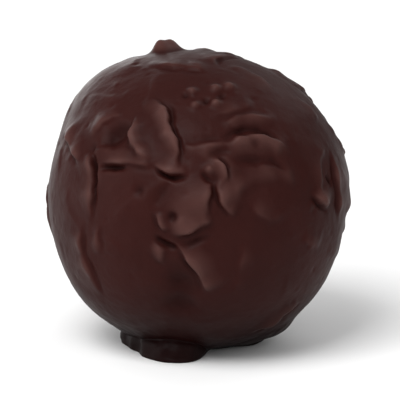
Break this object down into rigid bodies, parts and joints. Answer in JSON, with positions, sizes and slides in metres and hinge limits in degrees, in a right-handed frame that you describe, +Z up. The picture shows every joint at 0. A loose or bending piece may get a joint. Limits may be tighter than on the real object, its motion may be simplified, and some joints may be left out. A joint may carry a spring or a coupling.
{
  "type": "caramel truffle",
  "caption": "Round hand-dipped truffle with a folded dark chocolate coat, a small flat underside and a low foot of spare chocolate.",
  "frame": {"origin": "on the flat underside, straight below the middle of the ball", "axes": "+Z up from the underside to the top, -Y the front with the pinched folds, +X to the right of the front"},
  "size_m": [0.0272, 0.0275, 0.0268],
  "materials": {
    "dark_chocolate": "dark chocolate with a soft, low sheen"
  },
  "bodies": {
    "root": {"truffle": "dark_chocolate"}
  },
  "joints": []
}
